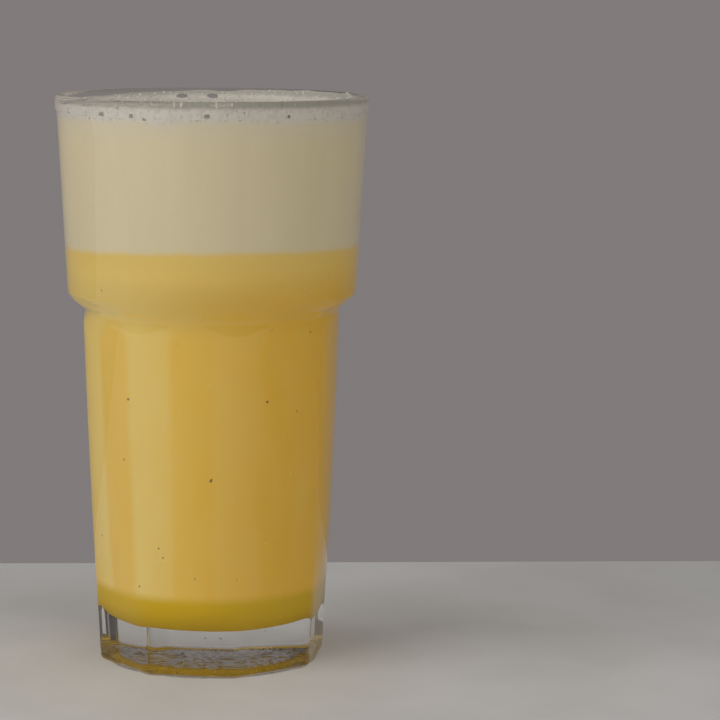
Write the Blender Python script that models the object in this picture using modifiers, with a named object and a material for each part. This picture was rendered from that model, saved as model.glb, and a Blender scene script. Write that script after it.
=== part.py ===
"""A tall stacking tumbler filled with pineapple juice, creamy foam and a cap of white froth.

The glass has a round band above a shoulder, eight flat panels below it and a thick clear base.
Metres, +Z up. The origin is in the middle of the underside, where the glass stands.
A bearing is an angle in degrees round +Z: 0 is the front, -Y, and 90 is +X.
"""

import random
from math import cos, hypot, pi, radians, sin

import bmesh
import bpy

# Round band and rim of the glass
HEIGHT = 0.1550
RIM_RADIUS = 0.04255
LIP_WIDTH = 0.0029
LIP_ROUND = 0.0011
BEAD_HEIGHT = 0.0036
BEAD_STEP = 0.0005
BAND_TOP_RADIUS = 0.0421
BAND_FOOT_RADIUS = 0.0394
BAND_FOOT = 0.1020
BAND_CORNER_ROUND = 0.0013

# Shoulder and facetted body, which bows out a little at half height
WAIST_RADIUS = 0.0347
WAIST_LEVEL = 0.0963
BODY_TOP = 0.0930
BODY_TOP_RADIUS = 0.0354
BODY_FOOT_RADIUS = 0.0312
BODY_BOW = 0.00025
FACETS = 8
FACET_TURN = radians(10.9)
EDGE_SHARPNESS = 0.0004
FACET_SWEEP = 0.0090
HEEL_ROUND = 0.0014

# Underside
BEARING_RING_INNER = 0.0215
PUNT_RADIUS = 0.0185
PUNT_DEPTH = 0.0016

# Inside of the glass
BASE_THICKNESS = 0.0120
FLOOR_RADIUS = 0.0268
FLOOR_ROUND = 0.0070
INNER_BODY_TOP_RADIUS = 0.0310
INNER_BODY_TOP = 0.0920
INNER_BAND_FOOT_RADIUS = 0.0371
INNER_BAND_FOOT = 0.1090

# Drink, from the bottom up
GAP = 0.0003
JUICE_TOP = 0.1149
FROTH_FOOT = 0.1495
FROTH_TOP = 0.1516
COLLAR_RISE = 0.0022
COLLAR_LEAN = 0.0009
COLLAR_STEEPNESS = 16

# Smoothness of the turned shapes
SIDES = 64
ARC_STEPS = 4

# Big bubbles on the froth: (bearing, distance from the axis, radius)
BIG_BUBBLES = (
    (176, 0.0250, 0.0018),
    (-160, 0.0190, 0.0016),
    (120, 0.0300, 0.0017),
    (62, 0.0180, 0.0019),
    (8, 0.0090, 0.0016),
    (-75, 0.0240, 0.0018),
    (-30, 0.0300, 0.0015),
    (-118, 0.0310, 0.0016),
)
SMALL_BUBBLES = 34
SMALL_RADIUS = (0.0006, 0.0012)
BUBBLE_SINK = 0.3
BUBBLE_ROOM = 0.0004
DOME_UNDERSIDE = 0.35
SEED = 7

# Open bubbles in the froth that clings to the wall: (bearing, level, half width, half height)
WALL_BUBBLES = (
    (180, 0.1524, 0.0019, 0.0010),
    (-167, 0.1524, 0.0020, 0.0010),
    (-145, 0.1522, 0.0011, 0.0008),
)
WALL_BUBBLE_INSET = 0.0012


def clear_scene():
    for obj in list(bpy.data.objects):
        bpy.data.objects.remove(obj)


def new_collection(name):
    collection = bpy.data.collections.new(name)
    bpy.context.scene.collection.children.link(collection)
    return collection


def new_material(name, colour, roughness, transmission=0.0):
    material = bpy.data.materials.new(name)
    material.use_nodes = True
    surface = material.node_tree.nodes["Principled BSDF"]
    surface.inputs["Base Color"].default_value = (*colour, 1.0)
    surface.inputs["Roughness"].default_value = roughness
    surface.inputs["Metallic"].default_value = 0.0
    surface.inputs["Transmission Weight"].default_value = transmission
    return material


def arc(centre, radius, start, end, steps=ARC_STEPS):
    """Points of a round corner, with angles in degrees: 0 points out and 90 points up."""
    angles = [radians(start + (end - start) * i / steps) for i in range(steps + 1)]
    return [(centre[0] + radius * cos(a), centre[1] + radius * sin(a)) for a in angles]


def between(first, last, share):
    return first + (last - first) * share


def bend(first, last, steps):
    """Points of an S that leaves both of its ends straight upwards."""
    points = []
    for i in range(steps + 1):
        share = i / steps
        eased = share * share * (3 - 2 * share)
        points.append((between(first[0], last[0], eased), between(first[1], last[1], share)))
    return points


def inner_wall(clearance=0.0):
    """The inside of the glass from the round edge of its floor up to the lip, or a line clear of it."""
    corner = (FLOOR_RADIUS - FLOOR_ROUND, BASE_THICKNESS + FLOOR_ROUND)
    floor_edge = arc(corner, FLOOR_ROUND - clearance, -90, 0, 5)
    shoulder = bend(
        (INNER_BODY_TOP_RADIUS - clearance, INNER_BODY_TOP),
        (INNER_BAND_FOOT_RADIUS - clearance, INNER_BAND_FOOT),
        6,
    )
    lip = (RIM_RADIUS - LIP_WIDTH - clearance, HEIGHT - LIP_ROUND)
    return floor_edge + shoulder + [lip]


def drink_radius(level):
    """How wide the drink is at this level, clear of the glass."""
    wall = inner_wall(GAP)
    for low, high in zip(wall, wall[1:]):
        if low[1] <= level < high[1]:
            return between(low[0], high[0], (level - low[1]) / (high[1] - low[1]))
    return wall[-1][0]


def body_side(extra=0.0):
    """The outer corner line of the body, from its top down to the heel."""
    steps = 4
    side = []
    for i in range(steps):
        share = i / steps
        radius = between(BODY_TOP_RADIUS, BODY_FOOT_RADIUS, share) + BODY_BOW * sin(pi * share)
        side.append((radius + extra, between(BODY_TOP, 0, share)))
    heel = (BODY_FOOT_RADIUS - HEEL_ROUND + extra, HEEL_ROUND)
    return side + arc(heel, HEEL_ROUND, 0, -90)


def glass_outline():
    """The cross-section of the round glass, from the middle of its floor over the lip and down."""
    lip_radius = RIM_RADIUS - LIP_WIDTH
    lip_level = HEIGHT - LIP_ROUND
    bead_foot = HEIGHT - BEAD_HEIGHT
    inside = [(0, BASE_THICKNESS)] + inner_wall()
    lip_inside = arc((lip_radius + LIP_ROUND, lip_level), LIP_ROUND, 180, 90, 3)
    lip_outside = arc((RIM_RADIUS - LIP_ROUND, lip_level), LIP_ROUND, 90, 0, 3)
    bead = [
        (RIM_RADIUS, bead_foot),
        (between(RIM_RADIUS, BAND_TOP_RADIUS, 0.4), bead_foot - BEAD_STEP),
        (BAND_TOP_RADIUS, bead_foot - 2 * BEAD_STEP),
    ]
    corner_centre = (BAND_FOOT_RADIUS - BAND_CORNER_ROUND, BAND_FOOT)
    corner = arc(corner_centre, BAND_CORNER_ROUND, 0, -65, 3)
    underside = [(0.0364, 0.0998), (0.0352, 0.0984)]
    waist = bend((BODY_TOP_RADIUS, BODY_TOP), (WAIST_RADIUS, WAIST_LEVEL), 3)[:0:-1]
    punt = [
        (BEARING_RING_INNER, 0),
        (PUNT_RADIUS, PUNT_DEPTH * 0.75),
        (PUNT_RADIUS * 0.5, PUNT_DEPTH),
        (0, PUNT_DEPTH),
    ]
    upper = inside + lip_inside[1:] + lip_outside + bead + corner
    return upper + underside + waist + body_side() + punt


def facet_outline():
    """The corner line of an eight-sided blank, which opens out under the shoulder."""
    to_corner = 1 / cos(pi / FACETS)
    clear = RIM_RADIUS * 1.3
    body = body_side(EDGE_SHARPNESS)
    flat = body[0][0] / to_corner
    sweep = arc((flat + FACET_SWEEP, BODY_TOP), FACET_SWEEP, 112, 180, 7)[:-1]
    upper = [(0, HEIGHT * 1.1), (clear, HEIGHT * 1.1), (clear, BAND_FOOT + 0.002)]
    return upper + [(radius * to_corner, level) for radius, level in sweep] + body + [(0, 0)]


def turned(name, outline, steps, collection):
    """A solid of revolution, from an outline at +X that runs down its outer side."""
    mesh = bpy.data.meshes.new(name)
    points = [(radius, 0, level) for radius, level in outline]
    mesh.from_pydata(points, [(i, i + 1) for i in range(len(points) - 1)], [])
    obj = bpy.data.objects.new(name, mesh)
    collection.objects.link(obj)
    screw = obj.modifiers.new("turn", "SCREW")
    screw.axis = "Z"
    screw.steps = steps
    screw.render_steps = steps
    screw.use_merge_vertices = True
    screw.merge_threshold = 1e-6
    return obj


def apply_modifiers(obj):
    """Leaves obj as a plain mesh with its poles closed."""
    bpy.context.view_layer.update()
    graph = bpy.context.evaluated_depsgraph_get()
    mesh = bpy.data.meshes.new_from_object(obj.evaluated_get(graph))
    obj.modifiers.clear()
    obj.data = mesh
    shape = bmesh.new()
    shape.from_mesh(mesh)
    bmesh.ops.remove_doubles(shape, verts=shape.verts, dist=1e-6)
    shape.to_mesh(mesh)
    shape.free()


def shade(obj, material, sharp_above=30):
    obj.data.materials.clear()
    obj.data.materials.append(material)
    obj.data.shade_smooth()
    obj.data.set_sharp_from_angle(angle=radians(sharp_above))


def as_cutter(obj):
    obj.hide_render = True
    obj.display_type = "WIRE"


def place(bearing, distance, level=0.0):
    """The point at this bearing and distance from the axis."""
    angle = radians(bearing)
    return (distance * sin(angle), -distance * cos(angle), level)


def juice_top(x, y):
    """Where the foam starts: highest at the front and the back, and lowest on the left."""
    saddle = 0.0007 * (y * y - x * x) / RIM_RADIUS**2
    return JUICE_TOP + saddle + 0.0005 * x / RIM_RADIUS


def froth_foot(x, y):
    """The wavy level where the creamy foam ends and the white froth starts."""
    waves = sin(190 * x + 1.0) * cos(150 * y - 0.6) + 0.5 * sin(330 * x - 260 * y)
    return FROTH_FOOT + 0.00035 * waves


def froth_top(x, y):
    """The sunken, lumpy top of the froth, which climbs up the wall all round."""
    lumps = sin(280 * x + 0.4) * sin(240 * y + 1.1) + 0.6 * sin(520 * x - 410 * y)
    climb = COLLAR_RISE + COLLAR_LEAN * (0.8 * x + 0.6 * y) / RIM_RADIUS
    reach = hypot(x, y) / drink_radius(FROTH_TOP)
    return FROTH_TOP + 0.0002 * lumps + climb * reach**COLLAR_STEEPNESS


def shape_levels(obj, flat_level, level_at):
    """Moves the points that lie at flat_level to the level that the rule gives."""
    for vertex in obj.data.vertices:
        if abs(vertex.co.z - flat_level) < 1e-6:
            vertex.co.z = level_at(vertex.co.x, vertex.co.y)


def disc(edge, level, rings):
    """A flat top, from the axis out, with its rings closest together near the edge."""
    return [(edge * (1 - (1 - i / rings) ** 1.7), level) for i in range(rings)]


def make_glass(collection, cutters, material):
    glass = turned("glass", glass_outline(), SIDES, collection)
    facets = turned("facet_blank", facet_outline(), FACETS, cutters)
    glass.rotation_euler.z = FACET_TURN
    facets.rotation_euler.z = FACET_TURN
    as_cutter(facets)
    cut = glass.modifiers.new("facets", "BOOLEAN")
    cut.operation = "INTERSECT"
    cut.object = facets
    cut.solver = "EXACT"
    apply_modifiers(glass)
    shade(glass, material, 22)
    return glass


def make_juice(collection, material):
    """The juice fills the body of the glass, up to above the shoulder."""
    top_radius = drink_radius(JUICE_TOP)
    wall = [point for point in inner_wall(GAP) if point[1] < JUICE_TOP]
    outline = disc(top_radius, JUICE_TOP, 4) + [(top_radius, JUICE_TOP)]
    outline += wall[::-1] + [(0, BASE_THICKNESS + GAP)]
    juice = turned("juice", outline, SIDES, collection)
    apply_modifiers(juice)
    shape_levels(juice, JUICE_TOP, juice_top)
    shade(juice, material)
    return juice


def make_foam(collection, material):
    """The creamy layer between the juice and the froth."""
    foot_radius = drink_radius(JUICE_TOP)
    top_radius = drink_radius(FROTH_FOOT)
    outline = disc(top_radius, FROTH_FOOT, 6) + [(top_radius, FROTH_FOOT)]
    outline += [(foot_radius, JUICE_TOP)] + disc(foot_radius, JUICE_TOP, 4)[::-1]
    foam = turned("foam", outline, SIDES, collection)
    apply_modifiers(foam)
    shape_levels(foam, FROTH_FOOT, lambda x, y: froth_foot(x, y) - GAP)
    shape_levels(foam, JUICE_TOP, lambda x, y: juice_top(x, y) + GAP)
    shade(foam, material)
    return foam


def bubble(name, centre, radius, upper, lower, detail, collection):
    """A ball whose upper and lower halves are flattened to these shares of its radius."""
    shape = bmesh.new()
    bmesh.ops.create_icosphere(shape, subdivisions=detail, radius=radius)
    for vertex in shape.verts:
        vertex.co.z *= upper if vertex.co.z > 0 else lower
    mesh = bpy.data.meshes.new(name)
    shape.to_mesh(mesh)
    shape.free()
    obj = bpy.data.objects.new(name, mesh)
    obj.location = centre
    collection.objects.link(obj)
    as_cutter(obj)


def scattered_bubbles():
    """(x, y, radius) of every bubble on top: the big ones, then small ones with room between."""
    found = []
    for bearing, distance, radius in BIG_BUBBLES:
        x, y, _ = place(bearing, distance)
        found.append((x, y, radius))
    draw = random.Random(SEED)
    wanted = len(found) + SMALL_BUBBLES
    reach = drink_radius(FROTH_TOP) - 0.003
    while len(found) < wanted:
        radius = draw.uniform(*SMALL_RADIUS)
        x, y, _ = place(draw.uniform(0, 360), reach * draw.random() ** 0.5)
        if all(hypot(x - a, y - b) > radius + r + BUBBLE_ROOM for a, b, r in found):
            found.append((x, y, radius))
    return found


def join_bubbles(obj, bubbles, operation):
    """One Boolean on the whole collection, which is then removed."""
    join = obj.modifiers.new("bubbles", "BOOLEAN")
    join.operand_type = "COLLECTION"
    join.collection = bubbles
    join.operation = operation
    join.solver = "EXACT"
    apply_modifiers(obj)
    for ball in list(bubbles.objects):
        bpy.data.objects.remove(ball)
    bpy.data.collections.remove(bubbles)


def make_froth(collection, material):
    """The white cap: a wavy layer with domes on top and open bubbles against the wall."""
    foot_radius = drink_radius(FROTH_FOOT)
    top_radius = drink_radius(FROTH_TOP)
    outline = disc(top_radius, FROTH_TOP, 9) + [(top_radius, FROTH_TOP)]
    outline += [(foot_radius, FROTH_FOOT)] + disc(foot_radius, FROTH_FOOT, 6)[::-1]
    froth = turned("froth", outline, SIDES, collection)
    apply_modifiers(froth)
    shape_levels(froth, FROTH_FOOT, froth_foot)
    shape_levels(froth, FROTH_TOP, froth_top)

    domes = new_collection("domes")
    for x, y, radius in scattered_bubbles():
        detail = 2 if radius > SMALL_RADIUS[1] else 1
        centre = (x, y, froth_top(x, y) - BUBBLE_SINK * radius)
        bubble("dome", centre, radius, 1, DOME_UNDERSIDE, detail, domes)
    join_bubbles(froth, domes, "UNION")

    hollows = new_collection("hollows")
    for bearing, level, half_width, half_height in WALL_BUBBLES:
        centre = place(bearing, drink_radius(level) - WALL_BUBBLE_INSET, level)
        squeeze = half_height / half_width
        bubble("hollow", centre, half_width, squeeze, squeeze, 2, hollows)
    join_bubbles(froth, hollows, "DIFFERENCE")
    shade(froth, material)
    return froth


def main():
    clear_scene()
    parts = new_collection("glass_of_juice")
    cutters = new_collection("cutters")
    drink = bpy.data.objects.new("drink", None)
    parts.objects.link(drink)
    pieces = (
        make_glass(parts, cutters, new_material("clear_glass", (0.97, 0.98, 0.97), 0.03, 1.0)),
        make_juice(parts, new_material("pineapple_juice", (0.83, 0.56, 0.10), 0.30)),
        make_foam(parts, new_material("cream_foam", (0.78, 0.69, 0.44), 0.50)),
        make_froth(parts, new_material("white_froth", (0.84, 0.82, 0.76), 0.40)),
    )
    for piece in pieces:
        piece.parent = drink


main()
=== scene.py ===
# %% [markdown]
# # A tall glass of pineapple juice
#
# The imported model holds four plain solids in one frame: the glass, the juice, the creamy foam on it
# and the white froth on top. This lesson dresses them. Every length is in metres, +Z is up, and the
# glass stands on the origin. A bearing is an angle round +Z: 0 is the front, towards -Y, and 90
# degrees is +X.

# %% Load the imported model
import random
from math import atan2, cos, hypot, pi, radians, sin, tau

import bmesh
import bpy
from mathutils import Matrix, Vector, noise


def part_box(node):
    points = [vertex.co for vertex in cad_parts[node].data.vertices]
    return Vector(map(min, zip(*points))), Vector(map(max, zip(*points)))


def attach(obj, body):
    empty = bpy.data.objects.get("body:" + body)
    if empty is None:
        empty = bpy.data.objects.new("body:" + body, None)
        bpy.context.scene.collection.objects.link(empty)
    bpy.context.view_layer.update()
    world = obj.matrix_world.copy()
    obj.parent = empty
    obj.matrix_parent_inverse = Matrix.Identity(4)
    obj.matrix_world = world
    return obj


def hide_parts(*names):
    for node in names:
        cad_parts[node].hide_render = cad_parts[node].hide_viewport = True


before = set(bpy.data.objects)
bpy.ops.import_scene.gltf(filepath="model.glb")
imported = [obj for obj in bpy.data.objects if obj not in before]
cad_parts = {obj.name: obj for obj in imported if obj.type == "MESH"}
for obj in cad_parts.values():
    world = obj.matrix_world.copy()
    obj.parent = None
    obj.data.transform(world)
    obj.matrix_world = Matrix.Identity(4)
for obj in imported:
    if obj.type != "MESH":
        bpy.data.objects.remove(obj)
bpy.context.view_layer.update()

print("nodes:", sorted(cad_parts))

# %% [markdown]
# ## Sizes
#
# The scene's own pieces stand for the solids, so they follow the same lines. The height, the rim
# and the levels of the layers are read from the frame. The rest are the same named sizes that the
# solids were made from, such as the lip, the shoulder and the flat panels of the body.

# %% Sizes of the glass
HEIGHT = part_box("glass")[1].z
RIM_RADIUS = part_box("glass")[1].x
LIP_WIDTH = 0.0029
LIP_ROUND = 0.0011
BEAD_HEIGHT = 0.0036
BEAD_STEP = 0.0005
BAND_TOP_RADIUS = 0.0421
BAND_FOOT_RADIUS = 0.0394
BAND_FOOT = 0.1020
BAND_CORNER_ROUND = 0.0013
WAIST_RADIUS = 0.0347
WAIST_LEVEL = 0.0963
BODY_TOP = 0.0930
BODY_TOP_RADIUS = 0.0354
BODY_FOOT_RADIUS = 0.0312
BODY_BOW = 0.00025
FACETS = 8
FACET_TURN = radians(10.9)
EDGE_SHARPNESS = 0.0004
EDGE_SOFTNESS = 0.0009
PANEL_BULGE = 0.0014
BULGE_FOOT = 0.012
BULGE_TOP = 0.040
FACET_SWEEP = 0.0090
HEEL_ROUND = 0.0014
BEARING_RING_INNER = 0.0215
PUNT_RADIUS = 0.0185
PUNT_DEPTH = 0.0016
BASE_THICKNESS = 0.0120
FLOOR_RADIUS = 0.0268
FLOOR_ROUND = 0.0070
INNER_BODY_TOP_RADIUS = 0.0310
INNER_BODY_TOP = 0.0920
INNER_BAND_FOOT_RADIUS = 0.0371
INNER_BAND_FOOT = 0.1090
NO_FLAT = 1.0
print(f"glass: {HEIGHT * 1000:.1f} mm tall, {RIM_RADIUS * 2000:.1f} mm wide")

# %% Sizes of the drink
JUICE_TOP = 0.1149
FROTH_FOOT = 0.1495
FROTH_TOP = 0.1516
COLLAR_RISE = 0.0022
COLLAR_LEAN = 0.0009
COLLAR_STEEPNESS = 16
REACH = 0.00015
SIDES = 320
print(f"drink: juice to {JUICE_TOP * 1000:.0f} mm, foam to {FROTH_FOOT * 1000:.0f} mm")

# %% [markdown]
# ## Outlines
#
# A turned shape is drawn as half of its cross-section. Its round stretches are arcs and its
# shoulder is a smooth S, so each line needs only the points that its shape asks for. A long
# stretch that bends a little is cut into short steps.


# %% Arcs and curves of an outline
def between(first, last, share):
    return first + (last - first) * share


def arc(centre, radius, start, end, steps=8):
    """Points of a round corner, with angles in degrees: 0 points out and 90 points up."""
    angles = [radians(between(start, end, i / steps)) for i in range(steps + 1)]
    return [(centre[0] + radius * cos(a), centre[1] + radius * sin(a)) for a in angles]


def bend(first, last, steps=14):
    """Points of an S that leaves both of its ends straight upwards."""
    points = []
    for i in range(steps + 1):
        share = i / steps
        eased = share * share * (3 - 2 * share)
        points.append((between(first[0], last[0], eased), between(first[1], last[1], share)))
    return points


def run(first, last, steps):
    """Points of a straight stretch, without its last one."""
    shares = [i / steps for i in range(steps)]
    return [(between(first[0], last[0], s), between(first[1], last[1], s)) for s in shares]


def inner_wall(clearance=0.0):
    """The inside of the glass from its floor up to the lip, or a line clear of it."""
    corner = (FLOOR_RADIUS - FLOOR_ROUND, BASE_THICKNESS + FLOOR_ROUND)
    floor_edge = arc(corner, FLOOR_ROUND - clearance, -90, 0, 14)
    shoulder = bend(
        (INNER_BODY_TOP_RADIUS - clearance, INNER_BODY_TOP),
        (INNER_BAND_FOOT_RADIUS - clearance, INNER_BAND_FOOT),
    )
    lip = (RIM_RADIUS - LIP_WIDTH - clearance, HEIGHT - LIP_ROUND)
    return floor_edge + run(floor_edge[-1], shoulder[0], 6)[1:] + shoulder + [lip]


def drink_radius(level):
    """How wide the drink is at this level, reaching a little into the wall."""
    wall = inner_wall(-REACH)
    for low, high in zip(wall, wall[1:]):
        if low[1] <= level < high[1]:
            return between(low[0], high[0], (level - low[1]) / (high[1] - low[1]))
    return wall[-1][0]


print(f"the drink is {drink_radius(FROTH_TOP) * 2000:.1f} mm wide at its top")

# %% [markdown]
# ## One class for node trees
#
# A material or a Geometry Nodes tree is easier to read as maths than as a list of links. A Flow
# is one output of a node. Adding, multiplying or comparing Flows adds Math nodes to their tree,
# and `add` puts in any other node: its settings first, then the values or links of its sockets.


# %% The Flow class
def plug(value, socket):
    """Links a Flow to this socket, or writes a plain value in it."""
    if isinstance(value, Flow):
        socket.id_data.links.new(value.socket, socket)
    else:
        socket.default_value = value


def maths(operation, *terms):
    """A Math node on numbers and Flows."""
    tree = next(term for term in terms if isinstance(term, Flow)).socket.id_data
    node = tree.nodes.new("ShaderNodeMath")
    node.operation = operation
    for socket, term in zip(node.inputs, terms):
        plug(term, socket)
    return Flow(node.outputs[0])


class Flow:
    """One output of a node, which can be used in expressions."""

    def __init__(self, socket):
        self.socket = socket

    def add(self, kind, settings=None, values=None, output=0):
        """Adds any node to the same tree, and gives the output that is asked for."""
        tree = self.socket.id_data
        node = tree.nodes.new(kind)
        for name, setting in (settings or {}).items():
            if name == "stops":
                set_stops(node.color_ramp, setting)
            else:
                setattr(node, name, setting)
        for name, value in (values or {}).items():
            plug(value, node.inputs[name])
        return Flow(node.outputs[output])

    def out(self, name):
        """Another output of the same node."""
        return Flow(self.socket.node.outputs[name])

    def __add__(self, other):
        return maths("ADD", self, other)

    def __sub__(self, other):
        return maths("SUBTRACT", self, other)

    def __mul__(self, other):
        return maths("MULTIPLY", self, other)

    def __truediv__(self, other):
        return maths("DIVIDE", self, other)

    def __pow__(self, other):
        return maths("POWER", self, other)

    def __rsub__(self, other):
        return maths("SUBTRACT", other, self)

    def __rtruediv__(self, other):
        return maths("DIVIDE", other, self)

    __radd__ = __add__
    __rmul__ = __mul__

    def rise(self, low, high):
        """0 below low and 1 above high, with a smooth step between. low may be the larger."""
        settings = {"interpolation_type": "SMOOTHSTEP"}
        values = {"Value": self, "From Min": low, "From Max": high}
        return self.add("ShaderNodeMapRange", settings, values)

    def mix(self, first, second):
        """From the first colour to the second as this value goes from 0 to 1."""
        settings = {"data_type": "RGBA"}
        return self.add("ShaderNodeMix", settings, {0: self, 6: first, 7: second}, 2)


def set_stops(ramp, stops):
    """Gives a colour ramp these (place, colour) stops."""
    while len(ramp.elements) < len(stops):
        ramp.elements.new(0.5)
    for element, (place, colour) in zip(ramp.elements, stops):
        element.position = place
        element.color = colour


def colour(red, green, blue):
    return (red, green, blue, 1.0)


print("Flow ready")

# %% [markdown]
# ## The lathe as Geometry Nodes
#
# Every part of this drink is turned, and the glass also has eight flat panels. Both follow one
# rule, so one Geometry Nodes tree makes them. It bends a grid into a tube: across the grid goes
# the bearing, and along it go the points of the outline. Where a row has a flat distance, the
# radius is held back to that flat. A panel that was pressed hot is never quite flat, so a row may
# also say how far it bulges in its middle. A smooth minimum rounds the corner between two panels,
# as fire polishing does.


# %% Build a tree, and run it once
def new_tree(name, inputs):
    """A Geometry Nodes tree with these named inputs, as a Flow on its first input."""
    tree = bpy.data.node_groups.new(name, "GeometryNodeTree")
    for label, kind in inputs.items():
        tree.interface.new_socket(label, in_out="INPUT", socket_type="NodeSocket" + kind)
    tree.interface.new_socket("Mesh", in_out="OUTPUT", socket_type="NodeSocketGeometry")
    return Flow(tree.nodes.new("NodeGroupInput").outputs[0])


def end_tree(mesh, material, smooth=True):
    """Ends a tree: instances made real, smooth shading and the material."""
    mesh = mesh.add("GeometryNodeRealizeInstances", values={"Geometry": mesh})
    shading = {"Geometry": mesh, "Shade Smooth": smooth}
    mesh = mesh.add("GeometryNodeSetShadeSmooth", values=shading)
    mesh = mesh.add("GeometryNodeSetMaterial", values={"Geometry": mesh, "Material": material})
    exit_node = mesh.socket.id_data.nodes.new("NodeGroupOutput")
    plug(mesh, exit_node.inputs["Mesh"])
    return mesh.socket.id_data


def grown(name, tree, values):
    """Runs a tree with these input values, and leaves its result as a plain mesh object."""
    obj = bpy.data.objects.new(name, bpy.data.meshes.new(name))
    bpy.context.scene.collection.objects.link(obj)
    modifier = obj.modifiers.new("grow", "NODES")
    modifier.node_group = tree
    for item in tree.interface.items_tree:
        if item.item_type == "SOCKET" and item.in_out == "INPUT":
            modifier[item.identifier] = values[item.name]
    bpy.context.view_layer.update()
    graph = bpy.context.evaluated_depsgraph_get()
    mesh = bpy.data.meshes.new_from_object(obj.evaluated_get(graph))
    obj.modifiers.clear()
    obj.data = mesh
    mesh.name = name
    return obj


SHARP_ANGLE = radians(50)


def face_outwards(obj):
    """Merges doubled points, turns every face of a closed mesh outwards and keeps edges sharp."""
    shape = bmesh.new()
    shape.from_mesh(obj.data)
    bmesh.ops.remove_doubles(shape, verts=shape.verts, dist=1e-7)
    bmesh.ops.recalc_face_normals(shape, faces=shape.faces)
    open_edges = sum(not edge.is_manifold for edge in shape.edges)
    print(f"{obj.name}: {len(shape.faces)} faces, {open_edges} open edges,"
          f" {shape.calc_volume() * 1e6:.1f} ml")
    shape.to_mesh(obj.data)
    shape.free()
    obj.data.set_sharp_from_angle(angle=SHARP_ANGLE)


# %% The lathe tree
def lathe_tree():
    start = new_tree("eight_sided_lathe", {
        "Outline": "Object",
        "Sides": "Int",
        "Facets": "Int",
        "Turn": "Float",
        "Softness": "Float",
        "Material": "Material",
    })
    sides = start.out("Sides")
    outline = start.add("GeometryNodeObjectInfo", values={"Object": start}, output="Geometry")
    points = outline.add("GeometryNodeAttributeDomainSize", {"component": "MESH"},
                         {"Geometry": outline}, "Point Count")
    grid_size = {"Size X": sides, "Size Y": points - 1, "Vertices X": sides + 1, "Vertices Y": points}
    grid = start.add("GeometryNodeMeshGrid", values=grid_size, output="Mesh")

    place = start.add("GeometryNodeInputPosition")
    spot = place.add("ShaderNodeSeparateXYZ", values={0: place})
    step = spot + sides / 2
    row = maths("ROUND", spot.out("Y") + (points - 1) / 2)
    drawn = start.add("GeometryNodeSampleIndex", {"data_type": "FLOAT_VECTOR"},
                      {"Geometry": outline, "Value": place, "Index": row})
    drawn = drawn.add("ShaderNodeSeparateXYZ", values={0: drawn})
    flat, bulge = (
        start.add("GeometryNodeSampleIndex", {"data_type": "FLOAT"}, {
            "Geometry": outline,
            "Value": start.add("GeometryNodeInputNamedAttribute", {"data_type": "FLOAT"}, {"Name": name}),
            "Index": row,
        })
        for name in ("flat", "bulge")
    )

    bearing = step / sides * tau + start.out("Turn")
    panel = tau / start.out("Facets")
    from_middle = maths("WRAP", step / sides * tau, panel, 0.0) - panel / 2
    bulging = flat + bulge * (1 - (from_middle * 2 / panel) ** 2)
    to_flat = bulging / maths("COSINE", from_middle)
    radius = maths("SMOOTH_MIN", drawn, to_flat, start.out("Softness"))
    turned = start.add("ShaderNodeCombineXYZ", values={
        "X": radius * maths("SINE", bearing),
        "Y": radius * maths("COSINE", bearing) * -1.0,
        "Z": drawn.out("Z"),
    })
    mesh = start.add("GeometryNodeSetPosition", values={"Geometry": grid, "Position": turned})
    mesh = mesh.add("GeometryNodeMergeByDistance", values={"Geometry": mesh, "Distance": 1e-6})
    return end_tree(mesh, start.out("Material"))


LATHE = lathe_tree()


def turn(name, outline, material, softness=0.0):
    """Turns an outline of (radius, level) or (radius, level, flat distance, bulge) points."""
    mesh = bpy.data.meshes.new(name + "_outline")
    mesh.from_pydata([(point[0], 0, point[1]) for point in outline], [], [])
    for column, label, without in ((2, "flat", NO_FLAT), (3, "bulge", 0.0)):
        values = [point[column] if len(point) > column else without for point in outline]
        mesh.attributes.new(label, "FLOAT", "POINT").data.foreach_set("value", values)
    drawing = bpy.data.objects.new(name + "_outline", mesh)
    obj = grown(name, LATHE, {
        "Outline": drawing,
        "Sides": SIDES,
        "Facets": FACETS,
        "Turn": FACET_TURN,
        "Softness": softness,
        "Material": material,
    })
    bpy.data.objects.remove(drawing)
    face_outwards(obj)
    return obj


print("lathe tree:", len(LATHE.nodes), "nodes")

# %% [markdown]
# ## Camera
#
# The photo's camera was fitted to the rim, the sides and the corners of the base. It stands 0.82 m
# away, a little above the rim, looks slightly down and has a long lens, so the glass hardly
# narrows. The lens comes from the focal length in pixels of the 720 pixel wide picture.

# %% Camera
PICTURE_WIDTH = 720
FOCAL_PIXELS = 3005.3
SENSOR = 36.0
CAMERA_PLACE = Vector((0.0, -0.8181, 0.1939))
LOOKS_DOWN = radians(7.755)
LOOKS_RIGHT = radians(2.840)
ROLL = radians(0.394)


def make_camera():
    ahead = Vector((sin(LOOKS_RIGHT) * cos(LOOKS_DOWN), cos(LOOKS_RIGHT) * cos(LOOKS_DOWN),
                    -sin(LOOKS_DOWN)))
    level_right = Vector((cos(LOOKS_RIGHT), -sin(LOOKS_RIGHT), 0))
    level_up = level_right.cross(ahead)
    right = level_right * cos(ROLL) + level_up * sin(ROLL)
    up = level_up * cos(ROLL) - level_right * sin(ROLL)
    data = bpy.data.cameras.new("camera")
    data.sensor_width = SENSOR
    data.lens = FOCAL_PIXELS * SENSOR / PICTURE_WIDTH
    data.clip_start = 0.01
    data.clip_end = 50
    camera = bpy.data.objects.new("camera", data)
    bpy.context.scene.collection.objects.link(camera)
    turn_matrix = Matrix((right, up, -ahead)).transposed()
    camera.matrix_world = Matrix.Translation(CAMERA_PLACE) @ turn_matrix.to_4x4()
    bpy.context.scene.camera = camera
    print(f"camera: lens {data.lens:.1f} mm, {CAMERA_PLACE.length:.3f} m away")


make_camera()

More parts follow.
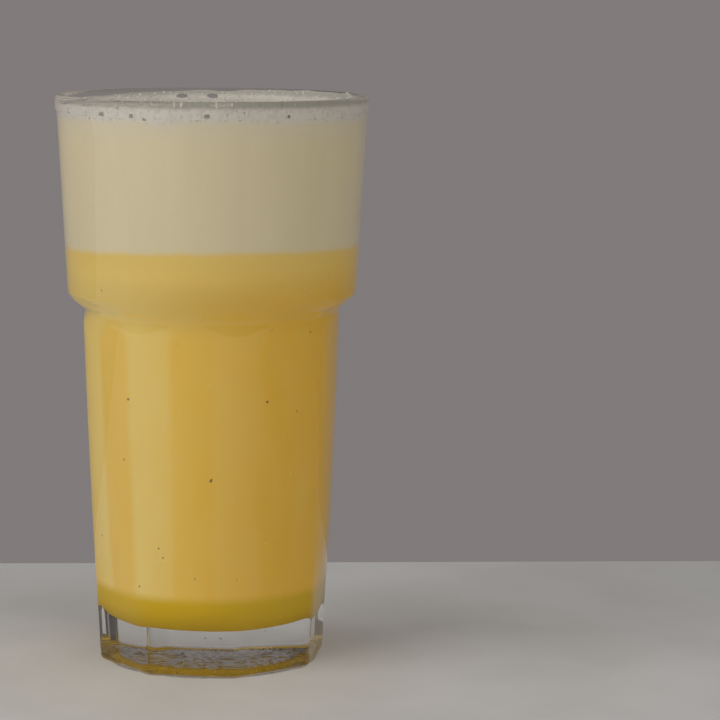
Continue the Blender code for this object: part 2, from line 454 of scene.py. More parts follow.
# %% [markdown]
# ## Table, background and light
#
# The stage is plain: a pale table whose straight back edge lies behind the glass, and an even
# grey beyond it. The light is that of a room with a big window on the left: one large soft area
# light low on the left, a weaker one on the right and a little from above. Clear glass shows
# what stands round it, so the world is not grey all over: it is dark overhead and behind the
# camera, which draws the dark lines at the rim and the edges that real glass has. Mirror images
# of the lamps in the glass would be much stronger than in a real room, so each big lamp is two:
# one lights what is matt, and a weaker one in the same place is only mirrored.

# %% Table and background
TABLE_BACK = 0.127
TABLE_REACH = 2.5
TABLE_THICKNESS = 0.03
TABLE_EDGE = 0.002
WALL_COLOUR = colour(0.218, 0.200, 0.198)
DARK_ROOM = colour(0.035, 0.033, 0.030)


def new_material(name):
    """A material, a Flow to add nodes with, and its Principled shader."""
    material = bpy.data.materials.new(name)
    material.use_nodes = True
    shader = material.node_tree.nodes["Principled BSDF"]
    place = material.node_tree.nodes.new("ShaderNodeTexCoord")
    return material, Flow(place.outputs["Object"]), shader


def ripple(place, scale, detail=2.0, stretch=(1, 1, 1)):
    """Noise from 0 to 1 on object coordinates, with waves of about 1 / scale metres."""
    stretched = place.add("ShaderNodeMapping", values={"Vector": place, "Scale": stretch})
    values = {"Vector": stretched, "Scale": scale, "Detail": detail}
    return place.add("ShaderNodeTexNoise", values=values)


def table_finish():
    """Pale, faintly mottled board."""
    material, place, shader = new_material("pale_table")
    mottle = ripple(place, 22, 5).rise(0.3, 0.7)
    pale = mottle.mix(colour(0.665, 0.655, 0.645), colour(0.725, 0.715, 0.705))
    plug(pale, shader.inputs["Base Color"])
    plug(0.62 + 0.1 * ripple(place, 90), shader.inputs["Roughness"])
    return material


def make_table():
    shape = bmesh.new()
    bmesh.ops.create_cube(shape, size=1)
    for vertex in shape.verts:
        vertex.co.x *= 2 * TABLE_REACH
        vertex.co.y = TABLE_BACK if vertex.co.y > 0 else -TABLE_REACH
        vertex.co.z = 0 if vertex.co.z > 0 else -TABLE_THICKNESS
    bmesh.ops.bevel(shape, geom=shape.edges, offset=TABLE_EDGE, segments=3, affect="EDGES")
    mesh = bpy.data.meshes.new("table")
    shape.to_mesh(mesh)
    shape.free()
    mesh.materials.append(table_finish())
    table = bpy.data.objects.new("table", mesh)
    bpy.context.scene.collection.objects.link(table)


def make_world():
    """An even grey at the level of the glass, dark overhead and behind the camera."""
    world = bpy.data.worlds.new("room")
    world.use_nodes = True
    way = Flow(world.node_tree.nodes.new("ShaderNodeTexCoord").outputs["Generated"])
    spot = way.add("ShaderNodeSeparateXYZ", values={0: way})
    dark = maths("MAXIMUM", spot.out("Z").rise(0.25, 0.6), spot.out("Y").rise(-0.1, -0.7))
    background = world.node_tree.nodes["Background"]
    plug(dark.mix(WALL_COLOUR, DARK_ROOM), background.inputs["Color"])
    bpy.context.scene.world = world
    bpy.context.scene.view_settings.view_transform = "Standard"


make_table()
make_world()
print(f"table: its back edge is {TABLE_BACK * 1000:.0f} mm behind the middle of the glass")


# %% Lights
def area_light(name, bearing, elevation, distance, size, power, tint=(1, 1, 1), shine=False):
    """A soft light on the middle of the glass, for what is matt or only for mirror images."""
    data = bpy.data.lights.new(name, "AREA")
    data.shape = "RECTANGLE"
    data.size, data.size_y = size
    data.energy = power
    data.color = tint
    light = bpy.data.objects.new(name, data)
    bpy.context.scene.collection.objects.link(light)
    around, up = radians(bearing), radians(elevation)
    back = Vector((sin(around) * cos(up), -cos(around) * cos(up), sin(up)))
    light.location = Vector((0, 0, HEIGHT / 2)) + back * distance
    light.rotation_mode = "QUATERNION"
    light.rotation_quaternion = (-back).to_track_quat("-Z", "Y")
    light.visible_camera = False
    light.visible_diffuse = not shine
    light.visible_glossy = shine
    light.visible_transmission = shine
    print(f"{name}: {power} W from bearing {bearing}")


WARM = (1.0, 0.98, 0.95)
area_light("window", -62, 26, 1.2, (1.1, 0.9), 7.4)
area_light("room", 35, 28, 1.4, (1.2, 1.0), 5.5, WARM)
area_light("ceiling", 0, 86, 1.3, (1.3, 1.3), 4.7)
area_light("window_shine", -62, 26, 1.2, (1.1, 0.9), 1.8, shine=True)
area_light("room_shine", 35, 28, 1.4, (1.2, 1.0), 1.2, WARM, shine=True)

# %% [markdown]
# ## The glass
#
# A pressed tumbler: a thin bead at the rim, a round band, a shoulder, eight flat panels that end
# in low arches, and a thick clear base. It could be turned and then cut with a Boolean, as the
# solid was. Here the lathe tree bends the flats into the turned shape instead, which keeps one
# even mesh whose normals flow smoothly over the corners. Clear glass shows every kink in them.
# The underside keeps the rough skin of the mould, which breaks up what is seen through the base.


# %% Outline of the glass
def corner_line(level):
    """The radius of the body's corner line at this level, from its foot to its top."""
    share = 1 - level / BODY_TOP
    return between(BODY_TOP_RADIUS, BODY_FOOT_RADIUS, share) + BODY_BOW * sin(pi * share)


def flat_distance(level):
    """How far a flat panel lies from the axis. It sweeps outwards above the body."""
    flat = (corner_line(min(level, BODY_TOP)) + EDGE_SHARPNESS) * cos(pi / FACETS)
    above = level - BODY_TOP
    if above <= 0:
        return flat
    if above >= FACET_SWEEP:
        return NO_FLAT
    return flat + FACET_SWEEP - (FACET_SWEEP**2 - above**2) ** 0.5


def panel_bulge(level):
    """How far the middle of a panel stands out. The corners of the base stay crisp."""
    share = min(1, max(0, (level - BULGE_FOOT) / (BULGE_TOP - BULGE_FOOT)))
    return PANEL_BULGE * share * share * (3 - 2 * share)


def glass_outline():
    """From the middle of the cavity's floor over the lip and down the outside."""
    lip_level = HEIGHT - LIP_ROUND
    bead_foot = HEIGHT - BEAD_HEIGHT
    inside = run((0, BASE_THICKNESS), inner_wall()[0], 6) + inner_wall()
    lip = arc((RIM_RADIUS - LIP_WIDTH + LIP_ROUND, lip_level), LIP_ROUND, 180, 90)[1:]
    lip += arc((RIM_RADIUS - LIP_ROUND, lip_level), LIP_ROUND, 90, 0)
    bead = bend((BAND_TOP_RADIUS, bead_foot - 2 * BEAD_STEP), (RIM_RADIUS, bead_foot), 6)[::-1]
    corner = arc((BAND_FOOT_RADIUS - BAND_CORNER_ROUND, BAND_FOOT), BAND_CORNER_ROUND, 0, -62)
    band = run(bead[-1], corner[0], 8)[1:]
    underside = bend((WAIST_RADIUS, WAIST_LEVEL), corner[-1], 16)[::-1][1:]
    waist = bend((BODY_TOP_RADIUS, BODY_TOP), (WAIST_RADIUS, WAIST_LEVEL), 10)[::-1][1:]
    steps = 30
    levels = [between(BODY_TOP, HEEL_ROUND, i / steps) for i in range(1, steps)]
    body = [(corner_line(level), level) for level in levels]
    outside = [(r, z, flat_distance(z), panel_bulge(z)) for r, z in corner + underside + waist + body]
    heel = arc((BODY_FOOT_RADIUS - HEEL_ROUND, HEEL_ROUND), HEEL_ROUND, 0, -90)
    heel = [(r, z, (r + EDGE_SHARPNESS) * cos(pi / FACETS)) for r, z in heel]
    ring = run(heel[-1][:2], (BEARING_RING_INNER, 0), 12)
    punt = []
    for i in range(9):
        share = i / 8
        eased = share * share * (3 - 2 * share)
        punt.append((between(BEARING_RING_INNER, PUNT_RADIUS, share), PUNT_DEPTH * 0.75 * eased))
    for i in range(1, 21):
        share = i / 20
        level = PUNT_DEPTH * (0.75 + 0.25 * sin(pi / 2 * share))
        punt.append((PUNT_RADIUS * (1 - share), level))
    return inside + lip + bead + band + outside + heel + ring[1:] + punt


# %% Clear glass
def glass_finish():
    """Clear pressed glass: faintly wavy sides, and an underside roughened by the mould."""
    material, place, shader = new_material("clear_glass")
    spot = place.add("ShaderNodeSeparateXYZ", values={0: place})
    level = spot.out("Z")
    reach = maths("SQRT", spot * spot + spot.out("Y") * spot.out("Y"))
    under = level.rise(UNDERSIDE_SKIN * 1.5, UNDERSIDE_SKIN) * reach.rise(HEEL_INNER, KNURL_OUTER)
    clear = ripple(place, 25).mix(colour(0.965, 0.975, 0.970), colour(0.99, 0.99, 0.99))
    clear = level.rise(HEIGHT - 0.0020, HEIGHT - 0.0006).mix(clear, RIM_OLIVE)
    plug(clear, shader.inputs["Base Color"])
    dull = ripple(place, 130, 3).rise(0.45, 0.8) * 0.03
    heel = level.rise(0.0016, 0.0008) * ripple(place, 60, 1).rise(0.40, 0.55) * 0.3
    skin = under * (0.08 + 0.3 * ripple(place, 400))
    plug(maths("MAXIMUM", dull, maths("MAXIMUM", heel, skin)), shader.inputs["Roughness"])
    shader.inputs["Transmission Weight"].default_value = 1.0
    shader.inputs["IOR"].default_value = 1.5
    height = ripple(place, 70, 1) + under * ripple(place, 900, 3) * 0.7
    bump = place.add("ShaderNodeBump", values={"Height": height, "Strength": 0.25, "Distance": 0.0004})
    plug(bump, shader.inputs["Normal"])
    return material


def stipple_underside(obj):
    """Gives the bearing ring and the punt the uneven skin of the mould, above the table."""
    for vertex in obj.data.vertices:
        x, y, level = vertex.co
        if level < PUNT_DEPTH + 0.0001 and hypot(x, y) < KNURL_OUTER:
            grain = noise.noise(Vector((x, y, 0)) * STIPPLE_SCALE)
            beads = sin(KNURLS * atan2(x, -y)) if hypot(x, y) > PUNT_RADIUS else 0
            vertex.co.z += STIPPLE_HEIGHT * max(0.0, grain + 0.5 * beads)


RIM_OLIVE = colour(0.88, 0.885, 0.82)
UNDERSIDE_SKIN = 0.0020
KNURL_OUTER = 0.0275
HEEL_INNER = 0.0285
KNURLS = 96
STIPPLE_SCALE = 650
STIPPLE_HEIGHT = 0.0004
glass = turn("tumbler", glass_outline(), glass_finish(), EDGE_SOFTNESS)
stipple_underside(glass)
glass.visible_shadow = False
glass.visible_diffuse = False

# %% [markdown]
# ## The drink
#
# The juice, the foam and the froth fill the glass and reach a little into its wall, so that no
# thin layer of air shows between them. Each is turned on the same lathe. Their levels are not
# flat: the foam starts lowest on the left, and the froth is a shallow dish that climbs the wall.


# %% Levels of the layers
TOP_RADIUS = drink_radius(FROTH_TOP)
FRONT_FILM = 0.0007


def juice_top(x, y):
    """Where the foam starts: highest at the front and the back, and lowest on the left."""
    saddle = 0.0007 * (y * y - x * x) / RIM_RADIUS**2
    return JUICE_TOP + saddle + 0.0005 * x / RIM_RADIUS


def wave(angle):
    """The sine of a number, or of a Flow."""
    return maths("SINE", angle) if isinstance(angle, Flow) else sin(angle)


def froth_foot(x, y):
    """The wavy level where the creamy foam ends and the white froth starts."""
    waves = wave(190 * x + 1.0) * wave(150 * y - 0.6 + pi / 2) + 0.5 * wave(330 * x - 260 * y)
    return FROTH_FOOT + 0.00035 * waves


def froth_top(x, y):
    """The sunken, lumpy top of the froth, which climbs up the wall all round."""
    lumps = sin(280 * x + 0.4) * sin(240 * y + 1.1) + 0.6 * sin(520 * x - 410 * y)
    climb = COLLAR_RISE + COLLAR_LEAN * (0.8 * x + 0.6 * y) / RIM_RADIUS
    climb += FRONT_FILM * max(0, -y / RIM_RADIUS) ** 2
    reach = hypot(x, y) / TOP_RADIUS
    return FROTH_TOP + 0.0002 * lumps + climb * reach**COLLAR_STEEPNESS


def set_level(obj, flat_level, level_at):
    """Moves the points that lie at flat_level to the level that the rule gives."""
    for vertex in obj.data.vertices:
        if abs(vertex.co.z - flat_level) < 1e-6:
            vertex.co.z = level_at(vertex.co.x, vertex.co.y)


def disc(edge, level, rings):
    """A flat face, from the axis out, with its rings closest together near the edge."""
    return [(edge * (1 - (1 - i / rings) ** 1.7), level) for i in range(rings)]


# %% Soft boundaries
SOFT_EDGE = 0.0012
ROUGH_EDGE = 0.0016
CREAM = colour(0.77, 0.66, 0.42)
WHITE = colour(0.70, 0.64, 0.545)


def facing(bearing, towards, power):
    """1 at this bearing, falling smoothly to 0 on the far side."""
    return ((maths("COSINE", bearing - radians(towards)) + 1) / 2) ** power


def place_z(place):
    """The level as a Flow."""
    return place.add("ShaderNodeSeparateXYZ", values={0: place}).out("Z")


def above(place, level_at, scale):
    """From 0 to 1 over the soft, uneven boundary between two layers."""
    spot = place.add("ShaderNodeSeparateXYZ", values={0: place})
    height = spot.out("Z") - level_at(spot.out("X"), spot.out("Y"))
    uneven = (ripple(place, scale, 3) - 0.5) * ROUGH_EDGE
    return (height + uneven).rise(-SOFT_EDGE, SOFT_EDGE)


# %% Juice finish
# The deep gold is the juice's own colour. The pale gold carries painted reflection and painted light
# along with the juice's cloudiness. The top gold carries a painted reflection, and the bottom gold
# painted shade.
DEEP_GOLD = colour(0.89, 0.515, 0.042)
CLOUD_AND_SHEEN_GOLD = colour(0.92, 0.69, 0.215)
BOTTOM_SHADE_GOLD = colour(0.69, 0.44, 0.004)
TOP_SHEEN_GOLD = colour(0.84, 0.585, 0.15)


def juice_finish():
    """Cloudy gold, paler where the glass is round and at its corners as a painted reflection of the
    window, paler on the window's side as painted light, and deepest at the bottom as painted shade.
    """
    material, place, shader = new_material("pineapple_juice")
    spot = place.add("ShaderNodeSeparateXYZ", values={0: place})
    level = spot.out("Z")
    bearing = maths("ARCTAN2", spot, spot.out("Y") * -1.0)
    panel = tau / FACETS
    from_middle = maths("WRAP", bearing - FACET_TURN - radians(1.5), panel, 0.0) - panel / 2
    from_middle = maths("ABSOLUTE", from_middle)
    arch = (level + 0.09 * from_middle * from_middle).rise(0.0985, 0.0925)
    in_panel = from_middle.rise(radians(14), radians(8)) * arch
    # Painted reflection of the window: paler off the flat panels, at the corners and over the shoulder,
    # strongest on the window's side.
    painted_window_reflection = (1 - in_panel) * (0.04 + 0.42 * facing(bearing, -57, 4))
    # Painted light: the side towards the window is painted paler.
    painted_window_light = 0.42 * facing(bearing, -60, 2.5)
    cloud = ripple(place, 160, 4, (1, 1, 0.35)) - 0.5
    # How pale: painted reflection and painted light, plus the juice's own random cloudiness.
    pale = painted_window_reflection + painted_window_light + cloud * 0.35
    pale = maths("MINIMUM", maths("MAXIMUM", pale, 0.0), 1.0)
    gold = pale.mix(DEEP_GOLD, CLOUD_AND_SHEEN_GOLD)
    # Painted reflection: paler over the round shoulder at the top.
    gold = level.rise(0.098, 0.117).mix(gold, TOP_SHEEN_GOLD)
    # Painted shade: a deeper, darker gold over the rounded floor at the bottom.
    gold = level.rise(0.0228, 0.0192).mix(gold, BOTTOM_SHADE_GOLD)
    gold = above(place, juice_top, 260).mix(gold, CREAM)
    plug(gold, shader.inputs["Base Color"])
    plug(0.28 + 0.1 * ripple(place, 300), shader.inputs["Roughness"])
    shader.inputs["Specular IOR Level"].default_value = 0.0
    return material


# %% Juice
def make_juice():
    edge = drink_radius(JUICE_TOP)
    wall = [point for point in inner_wall(-REACH) if point[1] < JUICE_TOP - 0.001]
    floor = disc(wall[0][0], wall[0][1], 6)
    top = run((edge, JUICE_TOP), (0, JUICE_TOP), 8) + [(0, JUICE_TOP)]
    juice = turn("juice_body", floor + wall + top, juice_finish())
    set_level(juice, JUICE_TOP, juice_top)
    return juice


juice = make_juice()


# %% Foam
def foam_finish():
    """Dense cream of very fine bubbles, with faint upright streaks."""
    material, place, shader = new_material("cream_foam")
    streak = ripple(place, 120, 3, (1, 1, 0.12))
    grain = ripple(place, 2200, 2)
    tone = maths("ADD", streak * 0.6, grain * 0.4).rise(0.25, 0.75)
    cream = tone.mix(colour(0.75, 0.64, 0.40), colour(0.79, 0.68, 0.44))
    cream = (place_z(place).rise(0.142, 0.1495) * 0.35).mix(cream, WHITE)
    # Just under the foam, the juice's top gold with its painted reflection.
    cream = above(place, juice_top, 260).mix(TOP_SHEEN_GOLD, cream)
    cream = above(place, froth_foot, 420).mix(cream, WHITE)
    plug(cream, shader.inputs["Base Color"])
    plug(0.45 + 0.15 * grain, shader.inputs["Roughness"])
    shader.inputs["Specular IOR Level"].default_value = 0.0
    bump = place.add("ShaderNodeBump", values={"Height": grain, "Strength": 0.2, "Distance": 0.0001})
    plug(bump, shader.inputs["Normal"])
    return material


def make_foam():
    foot, edge = drink_radius(JUICE_TOP), drink_radius(FROTH_FOOT)
    under = run((0, JUICE_TOP), (foot, JUICE_TOP), 8)
    side = run((foot, JUICE_TOP), (edge, FROTH_FOOT), 10)
    top = run((edge, FROTH_FOOT), (0, FROTH_FOOT), 12) + [(0, FROTH_FOOT)]
    foam = turn("foam_body", under + side + top, foam_finish())
    set_level(foam, FROTH_FOOT, froth_foot)
    set_level(foam, JUICE_TOP, juice_top)
    return foam


foam = make_foam()


# %% [markdown]
# ## Froth and its bubbles
#
# The white cap is a turned layer like the others, then three things make it froth. Where it
# clings to the wall, a Boolean opens bubbles in it, so the glass shows through the two big ones at
# the back. Every dome on top gets a shallow crater and over it a thin clear film of its own.
# Hundreds of small beads are scattered by Geometry Nodes, most of them along the wall.


# %% Places of the bubbles
def at_bearing(bearing, distance, level=0.0):
    """The point at this bearing in degrees and this distance from the axis."""
    around = radians(bearing)
    return distance * sin(around), -distance * cos(around), level


# (bearing, distance from the axis, radius)
BIG_BUBBLES = (
    (176, 0.0250, 0.0018),
    (-160, 0.0190, 0.0016),
    (120, 0.0300, 0.0017),
    (62, 0.0180, 0.0019),
    (8, 0.0090, 0.0016),
    (-75, 0.0240, 0.0018),
    (-30, 0.0300, 0.0015),
    (-118, 0.0310, 0.0016),
)
SMALL_BUBBLES = 34
SMALL_RADIUS = (0.0006, 0.0012)
BUBBLE_ROOM = 0.0004
BUBBLE_SINK = 0.3
# (bearing, level, half width, half height, how far its middle is from the wall)
WALL_BUBBLES = (
    (180, 0.1524, 0.0019, 0.0010, 0.0012),
    (-167, 0.1524, 0.0020, 0.0010, 0.0012),
    (-145, 0.1522, 0.0011, 0.0008, 0.0006),
    (-44.7, 0.1515, 0.0006, 0.0004, 0),
    (-31.2, 0.1512, 0.0008, 0.0004, 0),
    (-25.8, 0.1502, 0.0007, 0.0003, 0),
    (-1.9, 0.1515, 0.0008, 0.0004, 0),
    (29.2, 0.1512, 0.0007, 0.0004, 0),
    (117, 0.1538, 0.0006, 0.0003, 0.0002),
    (121, 0.1539, 0.0006, 0.0003, 0.0002),
    (126, 0.1538, 0.0007, 0.0003, 0.0002),
)
TINY_WALL_BUBBLES = 60
TINY_HALF_WIDTH = (0.0002, 0.00045)
SEED = 7


def top_bubbles():
    """(x, y, radius) of every dome: the big ones, then small ones with room between."""
    found = []
    for bearing, distance, radius in BIG_BUBBLES:
        x, y, _ = at_bearing(bearing, distance)
        found.append((x, y, radius))
    draw = random.Random(SEED)
    wanted = len(found) + SMALL_BUBBLES
    reach = TOP_RADIUS - 0.003
    while len(found) < wanted:
        radius = draw.uniform(*SMALL_RADIUS)
        x, y, _ = at_bearing(draw.uniform(0, 360), reach * draw.random() ** 0.5)
        if all(hypot(x - a, y - b) > radius + r + BUBBLE_ROOM for a, b, r in found):
            found.append((x, y, radius))
    return found


def wall_bubbles():
    """(place, radii, turn) of the open bubbles: the ones that are named and many tiny ones."""
    draw = random.Random(SEED)
    found = list(WALL_BUBBLES)
    for _ in range(TINY_WALL_BUBBLES):
        half = draw.uniform(*TINY_HALF_WIDTH)
        found.append((draw.uniform(-180, 180), draw.uniform(0.1499, 0.1528), half, half * 0.7, 0))
    return [
        (at_bearing(bearing, drink_radius(level) - inset, level), (half, half, tall), (0, 0, 0))
        for bearing, level, half, tall, inset in found
    ]


DOMES = top_bubbles()
print(f"{len(DOMES)} domes on top, {len(wall_bubbles())} open bubbles at the wall")


# %% A tree that puts balls on points
def ball_tree():
    start = new_tree("balls_on_points", {
        "Points": "Object",
        "Segments": "Int",
        "Material": "Material",
    })
    points = start.add("GeometryNodeObjectInfo", values={"Object": start}, output="Geometry")
    segments = start.out("Segments")
    ball = start.add("GeometryNodeMeshUVSphere", values={"Segments": segments, "Rings": segments * 0.6})
    radii, turned = (
        start.add("GeometryNodeInputNamedAttribute", {"data_type": "FLOAT_VECTOR"}, {"Name": name})
        for name in ("radii", "turned")
    )
    values = {"Points": points, "Instance": ball, "Scale": radii, "Rotation": turned}
    balls = start.add("GeometryNodeInstanceOnPoints", values=values)
    return end_tree(balls, start.out("Material"))


BALLS = ball_tree()


def placed_balls(name, balls, material, segments=8):
    """One mesh of balls, each given as (place, radii, turn)."""
    mesh = bpy.data.meshes.new(name + "_points")
    mesh.from_pydata([ball[0] for ball in balls], [], [])
    for column, label in ((1, "radii"), (2, "turned")):
        values = [number for ball in balls for number in ball[column]]
        mesh.attributes.new(label, "FLOAT_VECTOR", "POINT").data.foreach_set("vector", values)
    points = bpy.data.objects.new(name + "_points", mesh)
    obj = grown(name, BALLS, {"Points": points, "Segments": segments, "Material": material})
    bpy.data.objects.remove(points)
    face_outwards(obj)
    return obj


# %% Froth finish
def froth_finish():
    """Wet white froth: cells of many sizes, with painted shade in the sunken middles of the big ones, and
    darker high up the wall.
    """
    material, place, shader = new_material("white_froth")
    cells = place.add("ShaderNodeTexVoronoi", values={"Vector": place, "Scale": 900})
    big = place.add("ShaderNodeTexVoronoi", values={"Vector": place, "Scale": 330})
    middle = 1.0 - big.rise(0.05, 0.32)
    tone = cells.rise(0.0, 0.7) * 0.7 + ripple(place, 200) * 0.3
    white = tone.mix(colour(0.60, 0.55, 0.47), colour(0.73, 0.68, 0.595))
    # Painted shade: the sunken middles of the big cells are painted darker.
    white = (middle * 0.25).mix(white, colour(0.40, 0.37, 0.31))
    # Darker high up the wall, towards the top of the collar.
    thin = (place_z(place) + (ripple(place, 350, 3) - 0.5) * 0.001).rise(0.1525, 0.1538)
    white = (thin * 0.8).mix(white, colour(0.37, 0.355, 0.31))
    white = above(place, froth_foot, 420).mix(CREAM, white)
    plug(white, shader.inputs["Base Color"])
    plug(0.3 + 0.2 * tone, shader.inputs["Roughness"])
    height = tone - middle * 0.8
    bump = place.add("ShaderNodeBump", values={"Height": height, "Strength": 0.6, "Distance": 0.0002})
    plug(bump, shader.inputs["Normal"])
    return material


# %% Froth
def cratered(x, y):
    """The top of the froth with a crater under every dome."""
    level = froth_top(x, y)
    for a, b, radius in DOMES:
        away = hypot(x - a, y - b)
        if away < radius:
            level -= CRATER_DEPTH * (radius * radius - away * away) ** 0.5
    return level


def cut(obj, cutter):
    """Takes the cutter's balls out of a closed mesh."""
    modifier = obj.modifiers.new("cut", "BOOLEAN")
    modifier.object = cutter
    modifier.operation = "DIFFERENCE"
    modifier.solver = "MANIFOLD"
    graph = bpy.context.evaluated_depsgraph_get()
    mesh = bpy.data.meshes.new_from_object(obj.evaluated_get(graph))
    obj.modifiers.clear()
    obj.data = mesh
    bpy.data.objects.remove(cutter)
    face_outwards(obj)


def make_froth():
    foot, edge = drink_radius(FROTH_FOOT), TOP_RADIUS
    under = run((0, FROTH_FOOT), (foot, FROTH_FOOT), 12)
    side = run((foot, FROTH_FOOT), (edge, FROTH_TOP), 4)
    top = [(edge, FROTH_TOP)] + disc(edge, FROTH_TOP, 110)[::-1]
    finish = froth_finish()
    froth = turn("froth_cap", under + side + top, finish)
    set_level(froth, FROTH_FOOT, froth_foot)
    set_level(froth, FROTH_TOP, cratered)
    cut(froth, placed_balls("open_bubbles", wall_bubbles(), finish, 16))
    return froth


CRATER_DEPTH = 0.5
froth = make_froth()


# %% Bubble films and beads
def film_finish():
    """A bubble's thin skin: nearly clear where it faces the eye, whiter towards its edge."""
    material, place, shader = new_material("bubble_film")
    edge = place.add("ShaderNodeLayerWeight", values={"Blend": 0.4}, output="Facing")
    plug(0.10 + 0.65 * edge**2, shader.inputs["Alpha"])
    plug(ripple(place, 500).mix(colour(0.72, 0.69, 0.62), colour(0.86, 0.84, 0.78)),
         shader.inputs["Base Color"])
    plug(0.05 + 0.05 * ripple(place, 300), shader.inputs["Roughness"])
    return material


def bead_finish():
    """Small bubbles: glossy white beads with a faintly darker body."""
    material, place, shader = new_material("froth_beads")
    plug(ripple(place, 900).mix(colour(0.60, 0.57, 0.50), colour(0.80, 0.76, 0.69)),
         shader.inputs["Base Color"])
    plug(0.12 + 0.1 * ripple(place, 700), shader.inputs["Roughness"])
    return material


def bead_tree():
    """Scatters small beads over the upper side of a mesh, most of them near the wall."""
    start = new_tree("scattered_beads", {
        "Surface": "Object",
        "Spacing": "Float",
        "Smallest": "Float",
        "Largest": "Float",
        "Wall": "Float",
        "Seed": "Int",
        "Material": "Material",
    })
    surface = start.add("GeometryNodeObjectInfo", values={"Object": start}, output="Geometry")
    upwards = start.add("GeometryNodeInputNormal")
    upwards = upwards.add("ShaderNodeSeparateXYZ", values={0: upwards}).out("Z")
    place = start.add("GeometryNodeInputPosition")
    spot = place.add("ShaderNodeSeparateXYZ", values={0: place})
    reach = maths("SQRT", spot * spot + spot.out("Y") * spot.out("Y")) / start.out("Wall")
    points = start.add("GeometryNodeDistributePointsOnFaces", {"distribute_method": "POISSON"}, {
        "Mesh": surface,
        "Selection": maths("GREATER_THAN", upwards, 0.3),
        "Distance Min": start.out("Spacing"),
        "Density Max": 900000.0,
        "Density Factor": 0.18 + 0.82 * reach**14,
        "Seed": start.out("Seed"),
    })
    share = start.add("FunctionNodeRandomValue", {"data_type": "FLOAT"},
                      {2: 0.0, 3: 1.0, "Seed": start.out("Seed")}, 1)
    size = start.out("Smallest") + (start.out("Largest") - start.out("Smallest")) * share**3
    ball = start.add("GeometryNodeMeshIcoSphere", values={"Radius": 1.0, "Subdivisions": 2})
    values = {"Points": points, "Instance": ball, "Scale": size}
    beads = start.add("GeometryNodeInstanceOnPoints", values=values)
    return end_tree(beads, start.out("Material"))


films = placed_balls("bubble_films", [
    ((x, y, froth_top(x, y) - BUBBLE_SINK * radius), (radius, radius, radius), (0, 0, 0))
    for x, y, radius in DOMES
], film_finish(), 20)
beads = grown("froth_beads", bead_tree(), {
    "Surface": froth,
    "Spacing": 0.0006,
    "Smallest": 0.00012,
    "Largest": 0.00042,
    "Wall": TOP_RADIUS,
    "Seed": SEED,
    "Material": bead_finish(),
})
face_outwards(beads)

# %% [markdown]
# ## Pulp in the juice, air in the glass
#
# Fresh juice carries fine pulp. Most of it is a haze, which the juice's colour shows, but some
# fibres and dark specks lie against the glass. They are flattened balls, placed by the same tree
# as the bubbles and half sunk in the juice. The base holds three seeds: tiny trapped bubbles,
# which look like silver because light turns back at their inner face.


# %% Pulp and seeds
def fleck_finish(name, dark, pale, roughness):
    """A fleck of pulp, uneven from end to end."""
    material, place, shader = new_material(name)
    plug(ripple(place, 1500, 2).mix(dark, pale), shader.inputs["Base Color"])
    plug(roughness + 0.1 * ripple(place, 600), shader.inputs["Roughness"])
    return material


def on_juice(bearing, level):
    """The point of the juice's side at this bearing and level."""
    return at_bearing(bearing, drink_radius(level), level)


def pulp_specks():
    """The dark specks of the photo, then a few smaller ones all round."""
    draw = random.Random(SEED)
    specks = [
        (on_juice(bearing, level), (wide, FLECK_DEPTH, tall), (0, lean, radians(bearing)))
        for bearing, level, wide, tall, lean in PULP_SPECKS
    ]
    for _ in range(26):
        bearing = draw.uniform(-180, 180)
        size = draw.uniform(0.00008, 0.00022)
        level = draw.uniform(0.022, 0.108)
        turned = (0, draw.uniform(-1, 1), radians(bearing))
        specks.append((on_juice(bearing, level), (size, FLECK_DEPTH, size * 1.5), turned))
    return specks


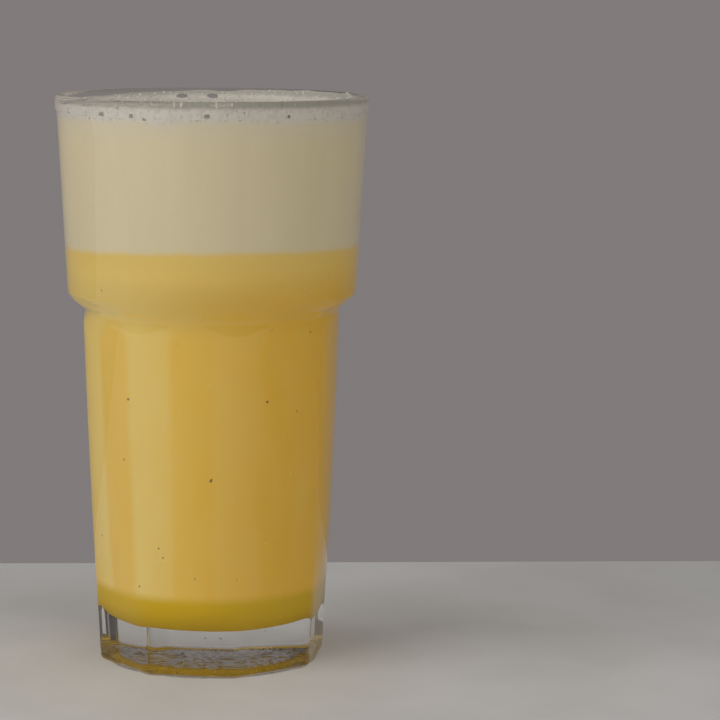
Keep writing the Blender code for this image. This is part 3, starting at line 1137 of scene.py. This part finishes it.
def pulp_fibres():
    """Pale fibres, drawn at random over the whole side."""
    draw = random.Random(SEED + 1)
    fibres = []
    for _ in range(FIBRES):
        bearing = draw.uniform(-180, 180)
        level = draw.uniform(0.02, 0.112)
        radii = (draw.uniform(0.00010, 0.00025), FLECK_DEPTH, draw.uniform(0.0003, 0.0009))
        fibres.append((on_juice(bearing, level), radii, (0, draw.uniform(-1.4, 1.4), radians(bearing))))
    return fibres


# (bearing, level, half width, half height, lean)
PULP_SPECKS = (
    (-44, 0.0750, 0.00035, 0.00035, 0),
    (27.4, 0.0750, 0.00040, 0.00035, 0),
    (-0.4, 0.0542, 0.00030, 0.0006, 0.5),
    (-49, 0.0583, 0.00030, 0.00025, 0),
    (-75.7, 0.0354, 0.00035, 0.00030, 0),
)
FLECK_DEPTH = 0.00010
FIBRES = 70
BROWN = fleck_finish("brown_pulp", colour(0.20, 0.07, 0.02), colour(0.36, 0.16, 0.05), 0.5)
PALE_PULP = fleck_finish("pale_pulp", colour(0.90, 0.60, 0.12), colour(0.92, 0.68, 0.22), 0.6)
SILVER = fleck_finish("trapped_air", colour(0.75, 0.76, 0.76), colour(0.95, 0.96, 0.96), 0.25)
SILVER.node_tree.nodes["Principled BSDF"].inputs["Metallic"].default_value = 1.0
specks = placed_balls("pulp_specks", pulp_specks(), BROWN, 10)
fibres = placed_balls("pulp_fibres", pulp_fibres(), PALE_PULP, 8)
seeds = placed_balls("glass_seeds", [
    (at_bearing(-3.5, 0.0262, 0.0108), (0.00035, 0.00030, 0.00025), (0, 0, 0)),
    (at_bearing(5.5, 0.0265, 0.0108), (0.00045, 0.00030, 0.00022), (0, 0.3, 0)),
    (at_bearing(31, 0.0262, 0.0118), (0.00050, 0.00035, 0.00020), (0, 0, 0)),
], SILVER, 12)

# %% [markdown]
# ## Put the pieces on their body
#
# The part has no joints, so every piece rides on its one body. The glass, the juice, the foam and the
# froth hide the solids that they stand for.

# %% Ride and replace
for piece, node, slot in (
    (glass, "glass", "clear_glass"),
    (juice, "juice", "pineapple_juice"),
    (foam, "foam", "cream_foam"),
    (froth, "froth", "white_froth"),
):
    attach(piece, "root")
    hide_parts(node)

for piece, slot in (
    (films, "white_froth"),
    (beads, "white_froth"),
    (specks, "pineapple_juice"),
    (fibres, "pineapple_juice"),
    (seeds, "clear_glass"),
):
    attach(piece, "root")
